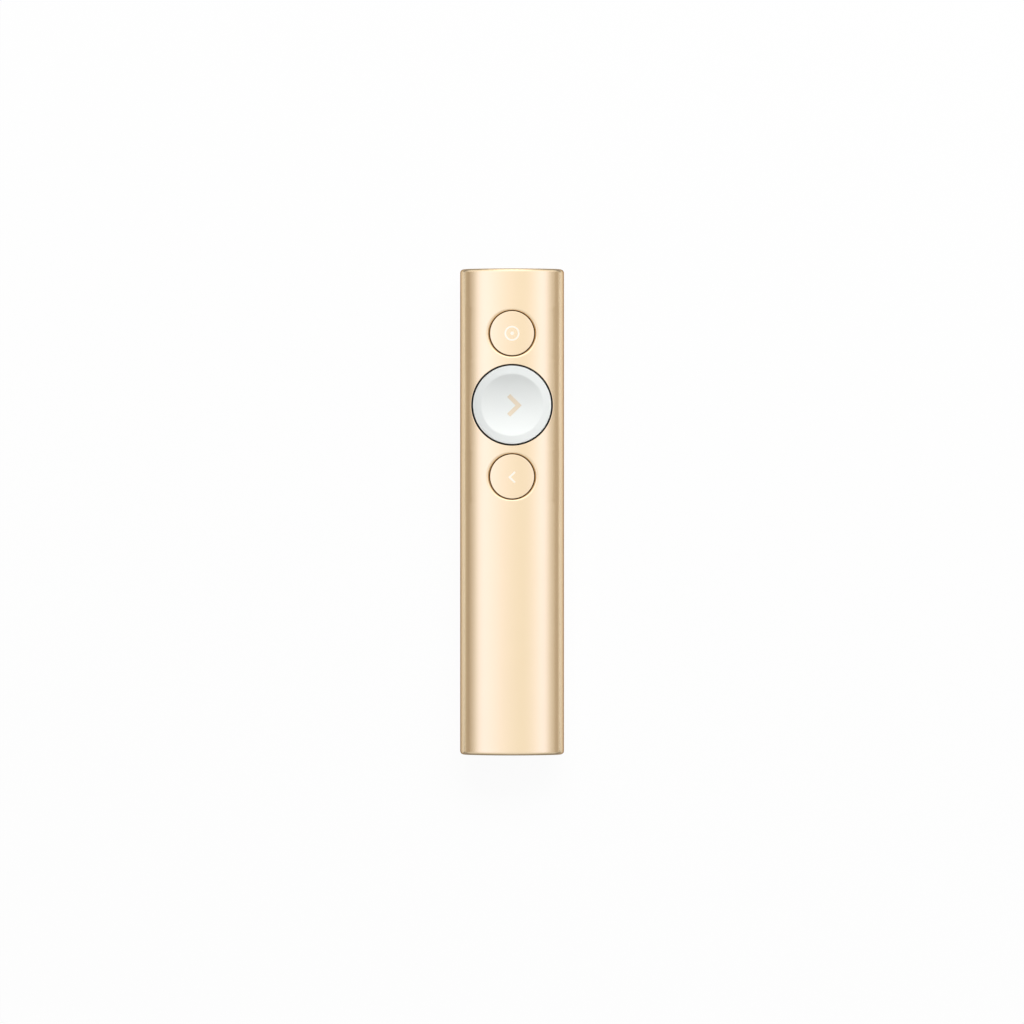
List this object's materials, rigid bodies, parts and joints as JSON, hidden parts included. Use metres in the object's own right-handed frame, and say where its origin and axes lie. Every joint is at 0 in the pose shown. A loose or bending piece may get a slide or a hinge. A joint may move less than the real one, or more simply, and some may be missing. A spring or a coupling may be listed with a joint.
{
  "type": "wireless presentation clicker",
  "caption": "Slim hand-held presentation remote: an oval aluminium sleeve with three round keys, a charging port and a plug-in radio receiver stowed in its tail.",
  "frame": {"origin": "Middle of the narrow flat along the back, on which the clicker lies. It is the bottom centre of the bounding box.", "axes": "+Z is out of the face with the keys, +Y points to the nose (the pointer key's end), the receiver and the charging port are at the -Y end, and +X is to the right when the face is seen with the nose up."},
  "size_m": [0.0282, 0.1314, 0.0121],
  "materials": {
    "gold_aluminium": "fine bead-blasted, gold anodised",
    "white_plastic": "moulded white, silky gloss",
    "charcoal_plastic": "moulded, fine texture",
    "chassis_plastic": "glass-filled nylon, matte",
    "spring_steel": "stamped stainless steel",
    "screw_steel": "turned steel",
    "tinned_steel": "drawn and nickel plated",
    "weight_metal": "sintered heavy metal",
    "circuit_board": "green solder mask on glass epoxy",
    "chip_epoxy": "moulded epoxy",
    "ceramic_chip": "fired ceramic",
    "pouch_foil": "laminated foil pouch",
    "foam_pad": "adhesive foam",
    "lead_insulation": "extruded insulation",
    "connector_plastic": "moulded off-white",
    "cradle_rubber": "moulded silicone",
    "ribbon_film": "amber polyimide film",
    "led_resin": "clear resin",
    "contact_gold": "gold plated"
  },
  "bodies": {
    "housing": {"housing_sleeve": "gold_aluminium", "nose_cover": "charcoal_plastic", "chassis": "chassis_plastic", "tail_plate": "charcoal_plastic", "pointer_switch": "spring_steel", "next_switch": "spring_steel", "back_switch": "spring_steel", "pointer_dome": "spring_steel", "next_dome": "spring_steel", "back_dome": "spring_steel", "keypad_frame": "chassis_plastic", "frame_screws": "screw_steel", "main_board": "circuit_board", "board_parts": "chip_epoxy", "shield_can": "tinned_steel", "chip_antenna": "ceramic_chip", "battery": "pouch_foil", "battery_pad": "foam_pad", "battery_leads": "lead_insulation", "battery_connector": "connector_plastic", "vibration_motor": "tinned_steel", "motor_cradle": "cradle_rubber", "charge_board": "circuit_board", "charge_port_shell": "tinned_steel", "charge_port_tongue": "charcoal_plastic", "flex_ribbon": "ribbon_film", "ribbon_connectors": "charcoal_plastic", "status_led": "led_resin", "light_pipe": "led_resin"},
    "pointer_key": {"pointer_cap": "gold_aluminium", "pointer_carrier": "charcoal_plastic", "pointer_plunger": "charcoal_plastic"},
    "next_key": {"next_cap": "white_plastic", "next_carrier": "charcoal_plastic", "next_plunger": "charcoal_plastic"},
    "back_key": {"back_cap": "gold_aluminium", "back_carrier": "charcoal_plastic", "back_plunger": "charcoal_plastic"},
    "motor_rotor": {"motor_shaft": "screw_steel", "motor_weight": "weight_metal"},
    "receiver": {"receiver_grip": "charcoal_plastic", "receiver_housing": "charcoal_plastic", "receiver_board": "circuit_board", "receiver_chip": "chip_epoxy", "receiver_plug_shell": "tinned_steel", "receiver_tongue": "connector_plastic", "receiver_contacts": "contact_gold"}
  },
  "joints": [
    {"name": "pointer_press", "type": "slide", "parent": "housing", "child": "pointer_key", "axis": [0, 0, -1], "range_m": [0, 0.0004], "stiffness_N_per_m": 300, "springref_m": -0.003, "deforming": ["pointer_dome"]},
    {"name": "next_press", "type": "slide", "parent": "housing", "child": "next_key", "axis": [0, 0, -1], "range_m": [0, 0.0004], "stiffness_N_per_m": 300, "springref_m": -0.003, "deforming": ["next_dome"]},
    {"name": "back_press", "type": "slide", "parent": "housing", "child": "back_key", "axis": [0, 0, -1], "range_m": [0, 0.0004], "stiffness_N_per_m": 300, "springref_m": -0.003, "deforming": ["back_dome"]},
    {"name": "motor_spin", "type": "hinge", "parent": "housing", "child": "motor_rotor", "pos_m": [0, 0.0579, 0.0073], "axis": [1, 0, 0], "continuous": true},
    {"name": "receiver_pull", "type": "slide", "parent": "housing", "child": "receiver", "axis": [0, -1, 0], "range_m": [0, 0.026]}
  ]
}
